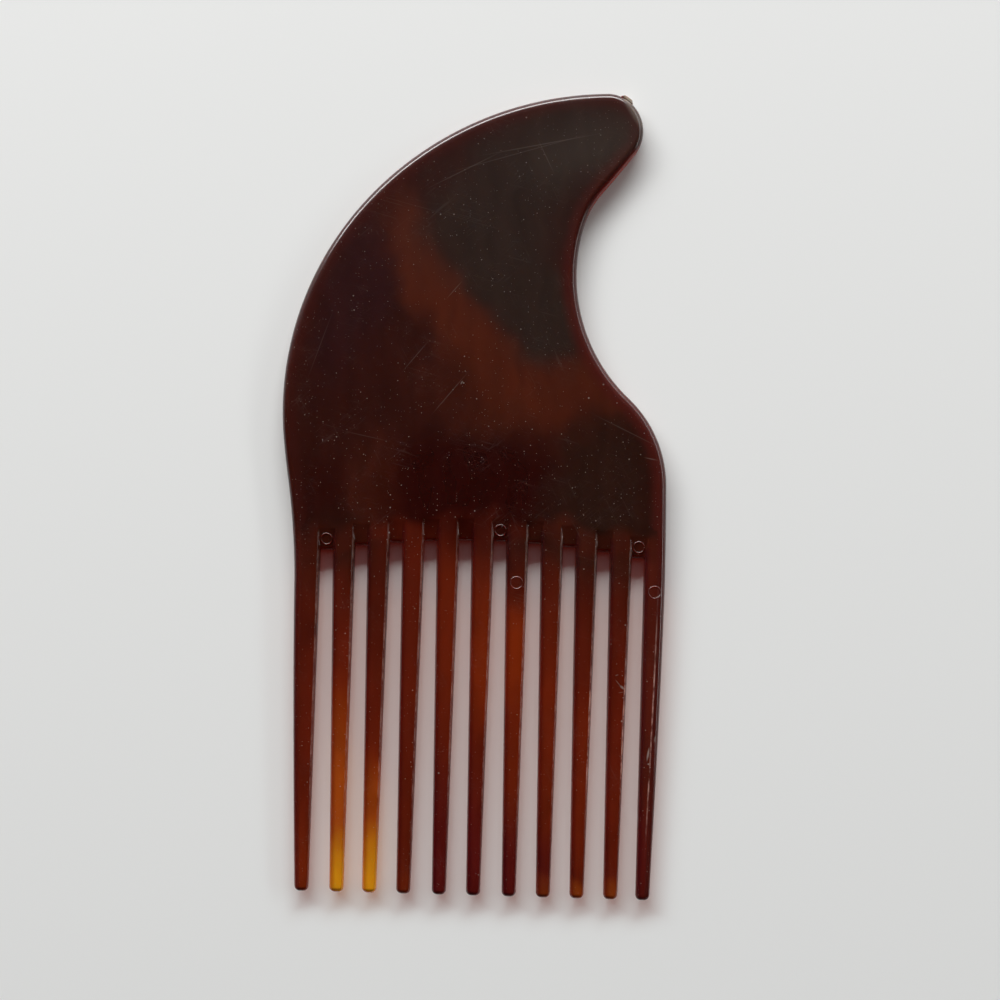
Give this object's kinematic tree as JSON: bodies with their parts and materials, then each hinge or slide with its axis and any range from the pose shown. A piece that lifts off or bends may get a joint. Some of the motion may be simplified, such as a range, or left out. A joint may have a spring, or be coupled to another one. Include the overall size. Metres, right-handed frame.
{
  "type": "hair pick",
  "caption": "Flat one-piece hair pick: a row of long tapering teeth under a broad handle that curls to a hooked tip over a finger bay, in dark mottled tortoiseshell plastic.",
  "frame": {"origin": "middle of the pick's bounding box, on the flat back that it rests on", "axes": "+Y from the tips of the teeth towards the tip of the handle, +Z out of the front face, +X to the side of the finger bay"},
  "size_m": [0.0794, 0.165, 0.0034],
  "materials": {
    "tortoiseshell": "polished translucent tortoiseshell, near black and dark red, amber at some tips, lightly scratched"
  },
  "bodies": {
    "root": {"pick": "tortoiseshell"}
  },
  "joints": []
}
